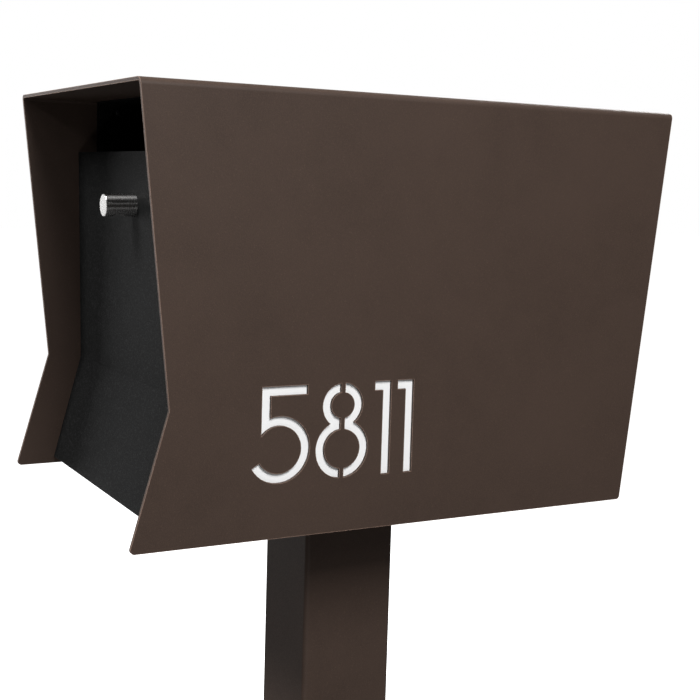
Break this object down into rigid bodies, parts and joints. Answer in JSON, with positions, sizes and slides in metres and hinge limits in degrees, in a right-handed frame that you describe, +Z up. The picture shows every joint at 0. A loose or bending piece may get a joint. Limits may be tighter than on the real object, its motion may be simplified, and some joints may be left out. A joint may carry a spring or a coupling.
{
  "type": "parcel drop box",
  "caption": "Post-mounted parcel drop box: bent bronze hood with cut-out house number, letter slot over a drop-down front door with a pull knob, inner flap and locked rear door.",
  "frame": {"origin": "centre of the base plate underside, on the ground under the post", "axes": "+Z up along the post; front door towards -Y; the cut-out house number on the +X side"},
  "size_m": [0.381, 0.5726, 1.4413],
  "materials": {
    "bronze_coat": "fine-textured dark bronze powder coat",
    "black_coat": "fine-textured black powder coat",
    "flap_steel": "satin black",
    "white_acrylic": "glossy white",
    "stainless": "polished and fine brushed",
    "zinc_steel": "bright zinc plate",
    "black_steel": "black oxide",
    "nylon": "matte",
    "rubber": "matte",
    "magnet": "matte ferrite strip",
    "chrome": "polished",
    "brass": "satin"
  },
  "bodies": {
    "box": {"cover_shell": "bronze_coat", "number_backer": "white_acrylic", "backer_nuts": "zinc_steel", "floor_pan": "black_coat", "left_liner": "black_coat", "right_liner": "black_coat", "roof_liner": "black_coat", "front_frame": "black_coat", "rear_frame": "black_coat", "box_rivets": "black_steel", "cover_screws": "zinc_steel", "letter_chute": "black_coat", "chute_screws": "zinc_steel", "flap_bushings": "nylon", "flap_bumpers": "rubber", "sill_leaf": "black_steel", "sill_rivets": "black_steel", "door_hinge_pin": "stainless", "door_bumpers": "rubber", "door_magnets": "magnet", "rear_frame_leaf": "black_steel", "rear_frame_rivets": "zinc_steel", "rear_hinge_pin": "stainless", "rear_bumpers": "rubber", "post_head_plate": "bronze_coat", "post_tube": "bronze_coat", "base_plate": "bronze_coat", "head_bolts": "zinc_steel", "head_nuts": "zinc_steel", "head_washers": "zinc_steel"},
    "front_door": {"front_door": "black_coat", "door_leaf": "black_steel", "door_nuts": "zinc_steel", "pull_knob": "stainless", "knob_screw": "zinc_steel", "knob_washer": "zinc_steel", "knob_set_screw": "black_steel"},
    "flap": {"security_flap": "flap_steel", "flap_rod": "zinc_steel", "rod_clips": "zinc_steel"},
    "rear_door": {"rear_door": "black_coat", "rear_door_leaf": "black_steel", "rear_door_rivets": "zinc_steel", "lock_body": "chrome", "lock_nut": "zinc_steel"},
    "lock": {"lock_plug": "chrome", "lock_cam": "zinc_steel", "cam_screw": "zinc_steel", "key": "brass"}
  },
  "joints": [
    {"name": "front_door_hinge", "type": "hinge", "parent": "box", "child": "front_door", "pos_m": [0, -0.23972, 1.055], "axis": [1, 0, 0], "range_deg": [0, 90]},
    {"name": "flap_hinge", "type": "hinge", "parent": "box", "child": "flap", "pos_m": [0, -0.19554, 1.34228], "axis": [1, 0, 0], "range_deg": [0, 80]},
    {"name": "rear_door_hinge", "type": "hinge", "parent": "box", "child": "rear_door", "pos_m": [-0.1733, 0.22246, 1.24254], "axis": [0, 0, 1], "range_deg": [0, 90]},
    {"name": "lock_turn", "type": "hinge", "parent": "rear_door", "child": "lock", "pos_m": [0.1478, 0.22845, 1.24254], "axis": [0, 1, 0], "range_deg": [0, 90]}
  ]
}
